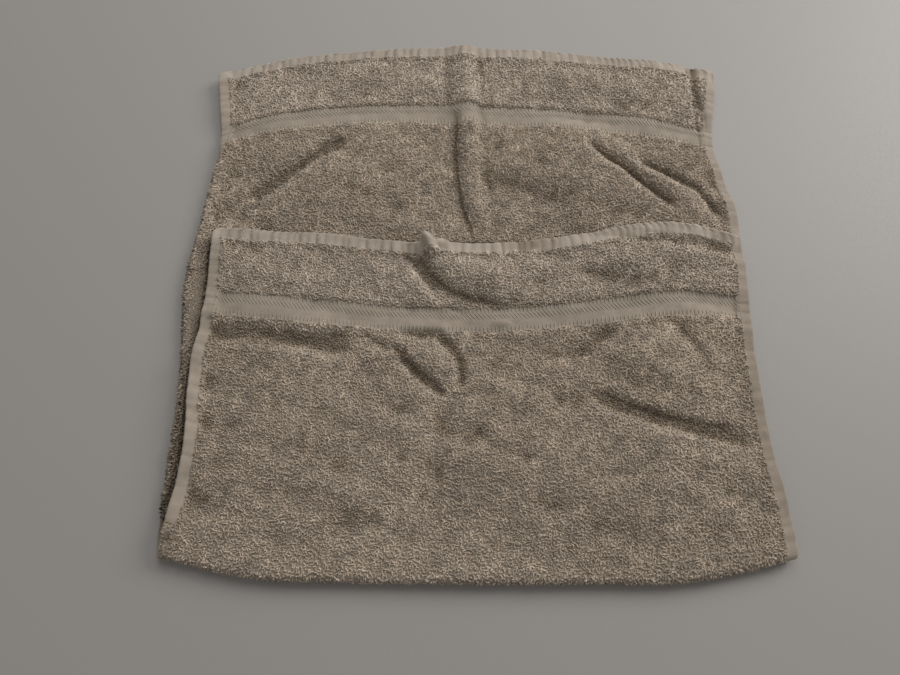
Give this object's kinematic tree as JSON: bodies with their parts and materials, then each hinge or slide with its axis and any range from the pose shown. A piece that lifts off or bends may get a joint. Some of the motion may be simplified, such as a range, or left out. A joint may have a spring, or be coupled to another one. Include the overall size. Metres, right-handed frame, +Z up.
{
  "type": "folded terry hand towel",
  "caption": "Rumpled cotton terry hand towel with woven borders and puckered hems, folded once across its width and laid flat.",
  "frame": {"origin": "centre of the bounding box in plan, on the surface that the towel lies on", "axes": "+X across the towel's width, +Y from the fold towards the far end of the lower layer, +Z up"},
  "size_m": [0.4148, 0.4276, 0.0168],
  "materials": {
    "terry": "matte beige cotton loop pile, with smoother woven borders and hems"
  },
  "bodies": {
    "root": {"towel": "terry"}
  },
  "joints": []
}
